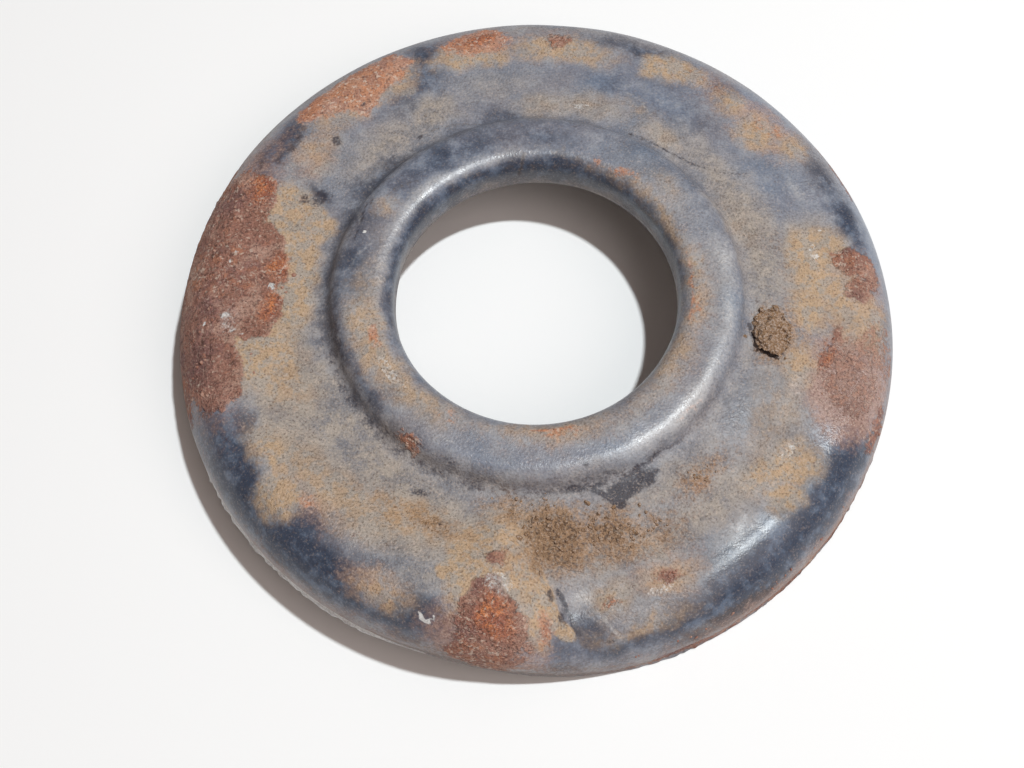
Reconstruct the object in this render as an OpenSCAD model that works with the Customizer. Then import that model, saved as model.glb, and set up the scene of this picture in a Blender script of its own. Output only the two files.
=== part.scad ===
// Pressed steel seat for a coil spring.
// One sheet forms a folded bore lip, a raised hub, a seat that winds up to follow the coil's end
// turn and drops at a stop, and a rim that is folded down all round.
// Origin: on the bore's axis, level with the lowest point of the rim. +Z points to the coil.

/* [Sheet] */
// Thickness of the steel sheet
sheet_t = 2.5; // [2:0.25:3]

/* [Rim] */
// Diameter over the folded rim
outer_d = 155; // [148:1:170]
// Inside radius of the rim's fold
rim_bend_r = 8.5; // [6:0.5:10]
// Straight height of the rim below its fold
skirt_h = 3.5; // [2:0.5:6]

/* [Hub] */
// Diameter of the hub at its foot
hub_d = 92; // [88:1:98]
// Height of the hub's foot above the rim's lowest point
foot_h = 20; // [18:0.5:23]
// Height of the hub above its foot
hub_h = 4; // [2.5:0.25:4.5]
// Inside radius of the hub's shoulder
shoulder_bend_r = 2; // [1:0.25:2.5]
// Radius of the hollow at the hub's foot
foot_bend_r = 2.5; // [1.5:0.25:3]

/* [Bore] */
// Diameter of the bore through the lip
bore_d = 60; // [56:0.5:61]
// Inside radius of the lip's fold
lip_bend_r = 3; // [1.5:0.25:3.5]
// Straight height of the lip below its fold
lip_h = 2.5; // [1.5:0.5:6]

/* [Coil seat] */
// Rise of the seat's outer edge over its turn
seat_rise = 10; // [6:0.5:12]
// Direction of the stop, in degrees from +X
stop_angle = 268; // [200:1:340]
// Angle over which the seat falls at the stop
stop_sweep = 18; // [14:1:28]
// Angle over which the rim's edge falls at the stop
rim_sweep = 34; // [30:1:50]

/* [Hidden] */
$fn = 96;
paint = [0.31, 0.36, 0.43];

turn = 360;
half_turn = 180;
quarter = 90;

// Sections around the turn: few along the climb and more where it falls at the stop
climb_sections = 70;
fall_sections = 24;
// Facets across the seat, round the rim's fold and round each fold of the middle
seat_facets = 8;
rim_facets = 9;
fold_facets = 8;

// Radii of the upper surface over each fold
rim_r = rim_bend_r + sheet_t;
shoulder_r = shoulder_bend_r + sheet_t;
lip_r = lip_bend_r + sheet_t;

outer_r = outer_d / 2;
bore_r = bore_d / 2;
foot_r = hub_d / 2;
seat_low_z = rim_r + skirt_h;
hub_z = foot_h + hub_h;
flat_r = bore_r + lip_r;

// The hub's wall is two equal arcs of opposite bend that meet at this slope
bends = shoulder_r + foot_bend_r;
wall_slope = acos(1 - hub_h / bends);
shoulder_x = foot_r - bends * sin(wall_slope);

// The revolved middle and the climbing seat share a narrow level ring outside the hub's foot
lap = 0.6;
join_r = foot_r + lap;
middle_r = join_r + lap;
seat_r = middle_r + lap;

rim_x = outer_r - rim_r;
seat_w = rim_x - seat_r;

// Share of the rise reached in direction a, where the fall at the stop spans sweep degrees
function share(a, sweep) =
    let (
        past = (((a - stop_angle) % turn) + turn) % turn,
        half = sweep / 2,
        into = past < half ? past + half : past - turn + half
    )
    past >= half && past <= turn - half
        ? (past - half) / (turn - sweep)
        : (1 + cos(half_turn * into / sweep)) / 2;

// Height gained in direction a, where blend runs from 0 on the seat to 1 at the rim's edge
function climb(a, blend) = seat_rise * share(a, stop_sweep + blend * (rim_sweep - stop_sweep));

// Soft change from 0 to 1, level at both ends, and its slope
function ease(t) = t * t * (3 - 2 * t);
function ease_slope(t) = 6 * t * (1 - t);

// Places on the upper surface of the seat and rim in direction a: radius, height, degrees below level
function seat_points(a) =
    let (lift = seat_low_z + climb(a, 0) - foot_h)
    concat(
        [[join_r, foot_h, 0]],
        [for (i = [0 : seat_facets - 1])
            let (t = i / seat_facets)
            [seat_r + seat_w * t,
             foot_h + lift * ease(t),
             -atan(lift / seat_w * ease_slope(t))]],
        [for (i = [0 : rim_facets])
            let (s = quarter * i / rim_facets)
            [rim_x + rim_r * sin(s),
             skirt_h + climb(a, 1 - cos(s)) + rim_r * cos(s),
             s]],
        [[outer_r, climb(a, 1), quarter]]
    );

// Places on the upper surface of the middle, from the lip's edge to the level ring
middle_points = concat(
    [[bore_r, hub_z - lip_r - lip_h, -quarter]],
    [for (i = [fold_facets : -1 : 0])
        let (s = quarter * i / fold_facets)
        [flat_r - lip_r * sin(s), hub_z - lip_r * (1 - cos(s)), -s]],
    [for (i = [0 : fold_facets])
        let (s = wall_slope * i / fold_facets)
        [shoulder_x + shoulder_r * sin(s), hub_z - shoulder_r * (1 - cos(s)), s]],
    [for (i = [fold_facets - 1 : -1 : 0])
        let (s = wall_slope * i / fold_facets)
        [foot_r - foot_bend_r * sin(s), foot_h + foot_bend_r * (1 - cos(s)), s]],
    [[middle_r, foot_h, 0]]
);

// The place on the lower surface one sheet thickness in from p on the upper one
function under_point(p) = [p[0] - sheet_t * sin(p[2]), p[1] - sheet_t * cos(p[2])];

// Closed outline of the sheet whose upper surface passes through the places in top
function sheet_outline(top) = concat(
    [for (p = top) [p[0], p[1]]],
    [for (i = [len(top) - 1 : -1 : 0]) under_point(top[i])]
);

directions = concat(
    [for (i = [0 : climb_sections - 1])
        stop_angle + rim_sweep / 2 + (turn - rim_sweep) * i / climb_sections],
    [for (i = [0 : fall_sections - 1])
        stop_angle - rim_sweep / 2 + rim_sweep * i / fall_sections]
);

// The sheet from the hub's foot out to the rim, swept once round as it climbs and falls
module climbing_seat() {
    sections = [for (a = directions) sheet_outline(seat_points(a))];
    n = len(sections[0]);
    m = len(directions);
    polyhedron(
        points = [for (k = [0 : m - 1]) for (p = sections[k])
            [p[0] * cos(directions[k]), p[0] * sin(directions[k]), p[1]]],
        faces = [for (k = [0 : m - 1]) for (j = [0 : n - 1])
            let (
                next_k = (k + 1) % m,
                next_j = (j + 1) % n
            )
            [k * n + j, next_k * n + j, next_k * n + next_j, k * n + next_j]],
        convexity = 6
    );
}

// The bore's lip, the hub's flat, its shoulder and the hollow at its foot, revolved
module lipped_hub() {
    rotate_extrude()
        polygon(sheet_outline(middle_points));
}

module spring_plate() {
    color(paint)
        union() {
            lipped_hub();
            climbing_seat();
        }
}

spring_plate();
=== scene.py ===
"""A coil spring mount: one pressed steel plate with a lipped hub and a climbing spring seat.

The plate is turned from its sheet section, raised into the climb, and roughened where
rust, dried soil and chipped paint lie. Lengths are in metres, and places on the sheet
are given as an angle round the axis and a run in millimetres along the upper face.
"""

import math
import random

import bpy
import numpy as np
from mathutils import Matrix, Vector, noise


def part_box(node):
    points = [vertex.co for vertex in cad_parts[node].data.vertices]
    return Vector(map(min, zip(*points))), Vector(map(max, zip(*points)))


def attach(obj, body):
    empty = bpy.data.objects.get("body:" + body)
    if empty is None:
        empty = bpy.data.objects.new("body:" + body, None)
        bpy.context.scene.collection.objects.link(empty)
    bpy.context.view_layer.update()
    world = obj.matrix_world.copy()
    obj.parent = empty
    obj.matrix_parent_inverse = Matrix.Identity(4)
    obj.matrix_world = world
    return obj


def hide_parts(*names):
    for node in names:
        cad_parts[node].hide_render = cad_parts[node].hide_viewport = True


bl_info = {
    "name": "Coil Spring Mount",
    "version": (1, 0, 0),
    "blender": (4, 5, 0),
    "location": "View3D > Sidebar > Spring Mount",
    "description": "Models a pressed spring seat with aged paint, rust and dried soil",
    "category": "Add Mesh",
}

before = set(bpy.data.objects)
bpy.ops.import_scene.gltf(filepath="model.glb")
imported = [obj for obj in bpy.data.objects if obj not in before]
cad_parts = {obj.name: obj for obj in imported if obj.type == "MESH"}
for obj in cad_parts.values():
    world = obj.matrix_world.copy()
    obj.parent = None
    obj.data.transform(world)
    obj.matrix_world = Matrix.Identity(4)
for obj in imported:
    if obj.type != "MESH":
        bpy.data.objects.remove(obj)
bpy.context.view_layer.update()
PLATE_LOW, PLATE_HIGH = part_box("spring_plate")
OUTER_RADIUS = PLATE_HIGH.x
MM = 0.001


# ---------------------------------------------------------------- settings


def colour_setting(name, description, red, green, blue):
    """A colour as it looks on a screen, with each part from 0 to 255."""
    return bpy.props.FloatVectorProperty(
        name=name,
        description=description,
        subtype="COLOR_GAMMA",
        size=3,
        min=0.0,
        max=1.0,
        default=(red / 255, green / 255, blue / 255),
    )


def length_setting(name, description, default):
    return bpy.props.FloatProperty(
        name=name, description=description, default=default, unit="LENGTH", precision=4
    )


class SpringMountSizes(bpy.types.PropertyGroup):
    """Sizes of the pressed plate."""

    outer_radius: length_setting("Outer radius", "Axis to the outside of the rim", OUTER_RADIUS)
    rim_bend: length_setting("Rim bend", "Radius of the upper face over the rim", 0.011)
    skirt: length_setting("Skirt", "Straight wall below the rim bend", 0.0035)
    sheet: length_setting("Sheet", "Thickness of the steel", 0.0025)
    hub_height: length_setting("Hub height", "Upper face of the hub above the ground", 0.024)
    foot_height: length_setting("Foot height", "Sheet at the foot of the hub", 0.020)
    foot_radius: length_setting("Foot radius", "Axis to the foot of the hub", 0.046)
    bore_radius: length_setting("Bore radius", "Axis to the inside of the lip", 0.030)
    lip_bend: length_setting("Lip bend", "Radius of the upper face over the lip", 0.0042)
    lip: length_setting("Lip", "Straight part of the lip below its bend", 0.0038)
    shoulder_bend: length_setting("Shoulder bend", "Radius over the hub's shoulder", 0.0045)
    foot_bend: length_setting("Foot bend", "Radius in the foot of the hub", 0.0025)
    rise: length_setting("Rise", "Climb of the seat from its low to its high end", 0.010)
    steps: bpy.props.IntProperty(
        name="Steps", description="Divisions round the plate", default=600, min=24, max=720
    )


class SpringMountColours(bpy.types.PropertyGroup):
    """Colours of the aged finish."""

    paint: colour_setting("Paint", "Dull blue-grey paint", 106, 120, 140)
    paint_pale: colour_setting("Pale paint", "Paint that has chalked", 136, 139, 147)
    paint_plum: colour_setting("Warm paint", "Paint with a purple cast", 124, 121, 128)
    # This dark tone is also painted shade on the hub's wall and the rim's near side, and a painted dark reflection in
    # the lip's bend.
    navy: colour_setting("Navy", "Paint that is still dark and glossy", 50, 60, 78)
    haze: colour_setting("Dust film", "Grey-beige road dust", 160, 148, 136)
    haze_grey: colour_setting("Grey dust", "Dust mixed with paint chalk", 132, 127, 126)
    ochre: colour_setting("Ochre", "Yellow-brown rust stain", 177, 149, 119)
    orange: colour_setting("Orange rust", "Fresh orange-brown rust", 186, 122, 88)
    rust: colour_setting("Rust", "Red-brown rust scale", 150, 104, 88)
    rust_pink: colour_setting("Pale rust", "Rust with a pink-grey bloom", 172, 136, 120)
    rust_plum: colour_setting("Plum rust", "Old rust with a purple cast", 122, 84, 80)
    rust_red: colour_setting("Red rust", "Deep red patches of the scale", 150, 76, 54)
    # Painted highlight: bright glints laid on the rust scale where the fresh orange rust is strongest.
    ember: colour_setting("Bright rust", "Hot orange glints in fresh rust", 208, 126, 72)
    rust_dark: colour_setting("Dark rust", "Pits and crumbs of the scale", 92, 58, 50)
    grit: colour_setting("Grit", "Pale crumbs and flecks", 206, 184, 168)
    soil: colour_setting("Soil", "Dried earth", 160, 126, 96)
    soil_dark: colour_setting("Dark soil", "Gaps between crumbs of earth", 82, 60, 44)
    # This dirt tone is also painted shade in the hub's foot, the lip's bend and along the lower skirt.
    grime: colour_setting("Grime", "Dark grey-brown dirt in corners", 74, 66, 66)
    # This black is also painted shade: the line at the hub's foot, the low side of the stop's step and the crevice
    # beside the soil clump.
    soot: colour_setting("Soot", "Black smears and cracks", 46, 45, 56)
    # This pale steel tone is also the colour of the painted highlights on the hub's shoulder, the rim's crest and the
    # lip.
    bare: colour_setting("Bare steel", "Worn steel at the cut edge", 208, 206, 204)
    floor: colour_setting("Floor", "Plain pale floor", 248, 248, 248)


def linear(colour):
    """The light values of a colour that is given as it looks on a screen."""
    parts = [c / 12.92 if c <= 0.04045 else ((c + 0.055) / 1.055) ** 2.4 for c in colour]
    return (*parts, 1.0)


# ---------------------------------------------------------------- the sheet section


def ease(t):
    return t * t * (3 - 2 * t)


def climb_share(angle, sweep):
    """How far the seat has climbed at an angle in degrees, from 0 to 1."""
    stop = 268.0
    past = (angle - stop) % 360.0
    half = sweep / 2
    into = np.where(past < half, past + half, past - 360.0 + half)
    steady = (past - half) / (360.0 - sweep)
    on_slope = (past >= half) & (past <= 360.0 - half)
    return np.where(on_slope, steady, (1 + np.cos(np.pi * into / sweep)) / 2)


STOP_SWEEP = 18.0
RIM_SWEEP = 34.0


def section_points(sizes):
    """The upper face from the bore's lip to the edge of the skirt.

    Each point is (radius, height, tilt, run, share of the climb, blend of the fall)."""
    points = []
    bends = sizes.shoulder_bend + sizes.foot_bend
    wall = math.acos(1 - (sizes.hub_height - sizes.foot_height) / bends)
    shoulder_x = sizes.foot_radius - bends * math.sin(wall)
    flat_x = sizes.bore_radius + sizes.lip_bend
    arc = sizes.lip_bend * math.pi / 2
    run_start = flat_x - arc

    for i in range(4):
        drop = sizes.lip * (1 - i / 4)
        height = sizes.hub_height - sizes.lip_bend - drop
        points.append((sizes.bore_radius, height, -math.pi / 2, run_start - drop, 0, 0))
    for i in range(12):
        turn = math.pi / 2 * (1 - i / 12)
        points.append((
            flat_x - sizes.lip_bend * math.sin(turn),
            sizes.hub_height - sizes.lip_bend * (1 - math.cos(turn)),
            -turn, flat_x - sizes.lip_bend * turn, 0, 0,
        ))
    for i in range(7):
        x = flat_x + (shoulder_x - flat_x) * i / 7
        points.append((x, sizes.hub_height, 0.0, x, 0, 0))
    for i in range(9):
        turn = wall * i / 9
        x = shoulder_x + sizes.shoulder_bend * math.sin(turn)
        height = sizes.hub_height - sizes.shoulder_bend * (1 - math.cos(turn))
        points.append((x, height, turn, x, 0, 0))
    for i in range(5):
        turn = wall * (1 - i / 5)
        x = sizes.foot_radius - sizes.foot_bend * math.sin(turn)
        height = sizes.foot_height + sizes.foot_bend * (1 - math.cos(turn))
        points.append((x, height, turn, x, 0, 0))

    seat_x = sizes.foot_radius + 0.0018
    crest_x = sizes.outer_radius - sizes.rim_bend
    seat_low = sizes.rim_bend + sizes.skirt
    for i in range(4):
        x = sizes.foot_radius + (seat_x - sizes.foot_radius) * i / 4
        points.append((x, sizes.foot_height, 0.0, x, 0, 0))
    for i in range(28):
        t = i / 28
        x = seat_x + (crest_x - seat_x) * t
        lift = seat_low + sizes.rise / 2 - sizes.foot_height
        slope = math.atan(lift / (crest_x - seat_x) * 6 * t * (1 - t))
        height = sizes.foot_height + (seat_low - sizes.foot_height) * ease(t)
        points.append((x, height, -slope, x, ease(t), 0))
    for i in range(24):
        turn = math.pi / 2 * i / 24
        points.append((
            crest_x + sizes.rim_bend * math.sin(turn),
            sizes.skirt + sizes.rim_bend * math.cos(turn),
            turn, crest_x + sizes.rim_bend * turn, 1, 1 - math.cos(turn),
        ))
    run = crest_x + sizes.rim_bend * math.pi / 2
    for i in range(7):
        drop = sizes.skirt * i / 6
        points.append((sizes.outer_radius, sizes.skirt - drop, math.pi / 2, run + drop, 1, 1))
    return points


def under_points(points, sheet):
    """Every other point, one sheet thickness below the upper face, from the skirt inwards."""
    last = len(points) - 1
    chosen = [p for i, p in enumerate(points) if i % 2 == 0 or i == last][::-1]
    return [
        (x - sheet * math.sin(tilt), z - sheet * math.cos(tilt), tilt, run, share, blend)
        for x, z, tilt, run, share, blend in chosen
    ]


# ---------------------------------------------------------------- where the finishes lie

# Each patch: angle in degrees, run in mm, half length in degrees, half width in mm, strength.

RUST = (
    (178, 71, 24.5, 9.5, 1), (172, 60, 9, 5.8, 1), (184, 60, 6.0, 6.5, 1), (160, 67, 6, 6, 1),
    (196, 69, 7, 6.5, 1), (176, 80, 25, 7, 1), (262.8, 72, 5.2, 7.6, 1), (262, 81, 5.2, 5, 0.8), (267.5, 76, 2.6, 6, 0.5),
    (262, 66, 3, 3, 1), (263, 58.6, 2.5, 2.3, 0.66), (345, 69, 9, 8, 0.46), (351, 74, 8, 6, 0.42),
    (347, 62, 3.4, 1.6, 0.9), (342, 65, 1.6, 1.4, 0.8), (25, 77.4, 6, 0.9, 0.75), (352, 63.5, 1.6, 1.2, 0.8),
    (316, 86, 32, 1.6, 0.8), (292, 85, 8, 2, 0.7), (338, 78, 6, 3, 0.6),
    (6.8, 68.6, 2.6, 5, 1), (1, 69, 2.6, 2.8, 0.9),
    (4.5, 72.5, 4.5, 2.2, 0.8), (101, 68.3, 4.0, 2.4, 0.6), (85, 67, 3.0, 2.8, 0.62),
    (282.4, 67.2, 1.0, 0.9, 0.8), (293, 65.4, 3.4, 2.2, 0.6), (236.5, 63.6, 1.0, 1.3, 0.7),
    (234.2, 43.2, 3.6, 1.1, 0.95), (175, 54, 2.4, 1.6, 0.9), (55, 68.2, 6, 2.4, 0.44),
)

ORANGE = (
    (173, 55, 3, 2.2, 0.9), (181.5, 56, 2.4, 1.8, 0.9), (156.5, 65.5, 2.6, 2.4, 0.9), (347, 62, 3, 1.6, 0.7),
    (127, 67.5, 9, 5, 1), (128, 62.8, 3, 2.4, 1), (119, 69, 4, 4, 0.9), (135.5, 69, 3.6, 3.4, 1),
    (101, 68.3, 6, 3.6, 1), (263, 71, 3.2, 5, 0.9), (158, 65, 2.4, 3, 0.7), (226, 64.6, 2.6, 1.7, 0.45),
    (244, 72.3, 2.6, 2.8, 0.25), (39, 67.5, 4, 3, 0.4),
    (350, 33, 6, 1.0, 0.6), (8, 32.2, 7, 1.0, 0.45), (55, 33.2, 3, 0.6, 0.8), (275, 33.6, 6, 1.2, 0.6),
    (283, 33.4, 3, 1.1, 0.6), (198, 34.5, 3.4, 1.1, 0.95), (240, 34.6, 4, 1.0, 0.6),
    (66, 33.4, 2, 0.9, 0.6), (318, 41.7, 3.2, 0.7, 0.5), (308.5, 53, 4.2, 1.6, 0.5),
    (184, 56.5, 3.2, 2.4, 0.8), (271, 71, 1.6, 3.4, 0.7), (46, 69, 3, 2, 0.3),
)

OCHRE = (
    (286.5, 73.4, 4.5, 1.3, 0.6), (197, 34.6, 4, 1.4, 1), (204, 35.4, 22, 2.2, 0.6), (190, 37, 8, 2.6, 0.55), (222, 34.6, 14, 1.6, 0.6), (268, 52, 9, 5, 0.55),
    (244, 56, 10, 3.6, 0.6), (198, 54, 10, 4, 0.5), (228, 60, 16, 5, 0.4), (330, 55, 12, 5, 0.25),
    (161, 52.5, 5, 4.5, 1), (157.5, 57, 2.6, 4.2, 1), (176, 50.5, 5.5, 2.4, 0.9), (185, 53, 4, 2.2, 0.7),
    (194, 58.2, 3.6, 3.2, 0.9), (192, 61.6, 4.4, 1.6, 0.8), (64, 65.6, 2.6, 2.4, 1),
    (60, 67.4, 4, 2.6, 0.8), (40, 65, 4, 4.2, 0.6), (48, 67, 3, 2.4, 0.6), (33, 68, 3, 2.8, 0.6),
    (5, 59, 8, 5, 0.6), (11, 61.5, 3, 4.6, 0.9), (355, 70, 6, 8, 0.4), (0, 64, 6, 5, 0.5),
    (84, 64.6, 8, 3.2, 0.7), (103, 64.8, 6, 3, 0.8), (74, 50.4, 3.4, 2, 0.3), (88, 48, 4.4, 1.7, 0.3),
    (54, 48.5, 4.4, 1.8, 0.35), (76, 50, 5, 1.4, 0.35), (64, 52.6, 4, 1.6, 0.35),
    (323, 63, 4.2, 3.4, 0.85), (318.5, 66.5, 2.6, 2.6, 0.8), (326, 65.4, 2.4, 3, 0.7), (319, 60, 4, 2.4, 0.6),
    (160, 57, 6, 7, 1), (167, 52.6, 8, 3.6, 0.95), (181, 52, 6, 3.2, 0.9), (189, 57.5, 5, 3, 0.8),
    (197, 62, 4, 4, 0.7), (258, 58, 5, 4.4, 0.9), (263, 62, 5, 4, 0.7),
    (343, 57, 4, 3, 0.7), (356, 57.4, 4, 3.6, 0.7), (258, 60.5, 3.4, 6, 0.8), (262.5, 56, 5, 3.4, 0.9),
    (266, 60.5, 3.4, 4.6, 0.8), (270, 69, 2, 4.6, 0.9), (257.5, 67, 2, 4, 0.7),
    (222, 68.6, 3.4, 4.4, 0.8), (215, 64, 5, 3.2, 0.7), (200, 57, 8, 4, 0.45), (148, 37, 3, 2, 0.5),
    (205, 37.6, 8, 1.6, 0.6), (224, 34.6, 7, 1.0, 0.6), (210, 35, 5, 1.5, 0.6), (275, 33, 12, 1.6, 0.6),
    (330, 33, 14, 1.4, 0.55), (30, 32.4, 16, 0.9, 0.6), (8, 32.4, 9, 1.5, 0.6), (352, 33, 9, 1.6, 0.6),
    (143, 62, 4, 3.4, 0.4), (127, 66, 12, 6, 0.5), (282, 66.6, 2.6, 2.4, 0.5), (293, 66, 4, 2.6, 0.6),
    (245, 72, 4, 3.4, 0.5), (242, 56.5, 6, 2.6, 0.4), (19, 47, 8, 2.6, 0.3), (40, 37, 5, 2.6, 0.3),
)

HAZE = (
    (210, 36, 24, 3, 0.7), (282, 34, 20, 2.2, 0.7), (77, 49.6, 6, 2.2, 1), (54, 48.6, 5, 2, 1), (88, 47.6, 4.6, 1.8, 1),
    (117, 52.4, 5, 4, 1), (144, 60, 7, 4.5, 0.8), (291, 66, 9, 4, 0.9), (205, 36, 26, 3, 0.7), (345, 46, 30, 1.6, 0.7),
    (222, 55, 46, 9.5, 1), (300, 58, 36, 6, 0.7), (337, 55, 17, 9, 0.5), (18, 49, 32, 5, 0.85),
    (130, 50, 16, 5, 0.7), (6, 60, 10, 7, 1), (357, 66, 6, 5, 0.9), (262, 60, 12, 10, 0.8), (100, 55, 14, 6, 0.4),
    (250, 66, 8, 4, 0.7), (285, 66, 10, 5, 0.5), (300, 50, 20, 4, 0.7), (205, 36.5, 22, 3, 0.6),
    (300, 34, 60, 2.6, 0.6), (355, 36, 30, 4, 0.5), (40, 37, 22, 4, 0.45), 
    (100, 24.4, 100, 0.9, 0.9), (265, 84, 60, 5, 0.4), (320, 84, 40, 5, 0.5), (130, 80, 70, 6, 0.5), (40, 62, 12, 4, 0.3),
    (240, 44.8, 40, 1.4, 0.8), (182, 47, 14, 2.4, 0.7), (28, 71.6, 4, 2, 0.5), (86, 72, 12, 2, 0.6),
)

# Dark glossy paint, and painted shade: on the hub's wall and foot where they face away from the lamp, on the near side
# of the rim, and a painted dark reflection in the lip's bend.
NAVY_AND_SHADE = (
    (170, 40, 7, 2.4, 0.75), (155, 44, 8, 2.4, 0.7), (222, 52, 3, 4, 0.45), (213, 44, 10, 1.2, 0.7),
    (306, 68.5, 8, 4.6, 0.75), (178, 38, 8, 3, 0.5), (236, 56, 3.4, 1.8, 0.75), (264.6, 52.5, 2.4, 1.0, 0.6), (238, 74, 4, 3, 0.6),
    (230, 73, 26, 3.8, 1), (207, 66, 3, 2.6, 0.8), (229, 67, 4, 3.4, 0.85), (243, 67.2, 2.6, 1.3, 0.8),
    (250, 72, 5, 4, 0.85), (212, 71, 7, 4, 0.9), (308, 73, 10.5, 7.4, 1), (320, 73.4, 12, 6.6, 1),
    (331, 73, 6, 5.4, 0.95), (297, 75, 8, 3.8, 0.9), (284, 75.6, 8, 2.4, 0.8), (278, 71.5, 3.4, 3.4, 0.8),
    (290, 69.5, 5, 2.4, 0.6), (114, 63.5, 3.8, 6.6, 0.6), (121, 57, 4, 2.8, 0.6), (112, 68, 3, 4, 0.75),
    (141, 67, 3, 2.4, 0.85), (147, 67.2, 3.6, 1.2, 0.8), (153.6, 54.8, 3.0, 3.4, 1),
    (15, 70.6, 5, 2.6, 0.9), (24, 71, 6, 2.2, 0.8), (50, 67.6, 3, 3, 0.6), (69, 69.4, 7, 2.4, 0.75),
    (51, 57.5, 6, 6, 0.25), (62, 62, 4, 3, 0.25), (72, 57, 2, 4, 0.4), (60, 52, 8, 5, 0.15),
    (182, 43.8, 17, 2.2, 0.85), (200, 42.4, 8, 1.8, 0.75), (138, 45.4, 11, 3.2, 0.85), (97, 45.4, 8, 2.2, 0.6),
    (146, 68, 7, 3.2, 1), (194, 73, 6, 4, 0.8), (168, 75, 7, 3, 0.6), (331, 62, 5, 4, 0.35), (215, 41.4, 7, 1.6, 0.8), (223, 43, 11, 1.2, 0.6), (250, 44.4, 30, 0.9, 0.5),
    (122, 39, 3.2, 2, 0.8), (87, 37, 5, 1.8, 0.7), (101, 36.6, 14, 1.6, 0.4), (120, 43, 50, 2.4, 0.45),
    (50, 42, 30, 3, 0.3), (218, 37.4, 5, 1.0, 0.6), 
    (232, 76.6, 24, 3.0, 0.95), (100, 28.8, 84, 3.1, 1), (120, 38, 30, 3, 0.5),
    (160, 40, 14, 3, 0.45), (327, 50.4, 5, 2.0, 0.75), (334, 53, 4.4, 2.2, 0.85), (236, 56, 3.2, 1.6, 0.4),
    (244, 66.6, 5, 2, 0.5), (212, 49.6, 3.4, 2.6, 0.25), (225, 58, 3.6, 4.6, 0.3),
)

# Dirt, and painted shade at the foot of the hub, in the lip's bend and along the lower skirt.
GRIME_AND_SHADE = (
    (262, 81, 26, 3, 0.6), (329, 62, 8, 6, 0.45), (302, 58, 12, 4, 0.4),
    (149, 67.6, 4, 1.4, 0.6), (180, 43.6, 16, 1.2, 0.5), (300, 80, 12, 3.4, 0.8), (262, 85.6, 34, 2.6, 0.9),
    (262, 44.2, 84, 1.4, 0.45), (196, 43.4, 14, 2.4, 0.45), (100, 30.0, 80, 0.9, 0.6), (120, 46, 50, 1.6, 0.4),
    (225, 86, 44, 1.4, 0.7), (262, 84, 14, 3.4, 0.6), (304, 85, 30, 2.0, 0.6), (296, 46.5, 7, 3, 0.6),
    (180, 85, 26, 3.0, 0.6), (232, 80, 20, 1.6, 0.5), (286, 55, 10, 3, 0.5), (275, 53, 12, 6, 0.4),
)

BLUSH = (
    (263, 58.6, 4.2, 3.4, 1), (226, 64.6, 5, 3, 0.7),
    (243.5, 71.5, 3, 2.6, 0.9), (269, 76, 3, 7, 0.8), (293, 65.5, 4.4, 3, 0.9),
    (144, 61.6, 5, 3.4, 0.7), (52, 67.5, 8, 4, 0.5), (206, 36.6, 10, 3, 0.4),
    (344, 68, 11, 10, 1), (2, 67, 6, 8, 0.8), (322, 84, 34, 3.2, 0.75), (222, 84, 36, 3.4, 0.6),
    (175, 71, 30, 12, 0.6), (262, 76, 9, 9, 0.7), (101, 68, 8, 5, 0.5), (345, 34.4, 14, 1.4, 0.5),
    (305, 82.5, 8, 2, 0.6), (128, 67, 14, 7, 0.4), (86, 67, 6, 5, 0.4), (40, 67, 8, 5, 0.75),
    (276, 34, 12, 1.8, 0.6), (355, 58, 10, 6, 0.4), (228, 65, 6, 3, 0.4), (196, 58, 8, 6, 0.3),
)

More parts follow.
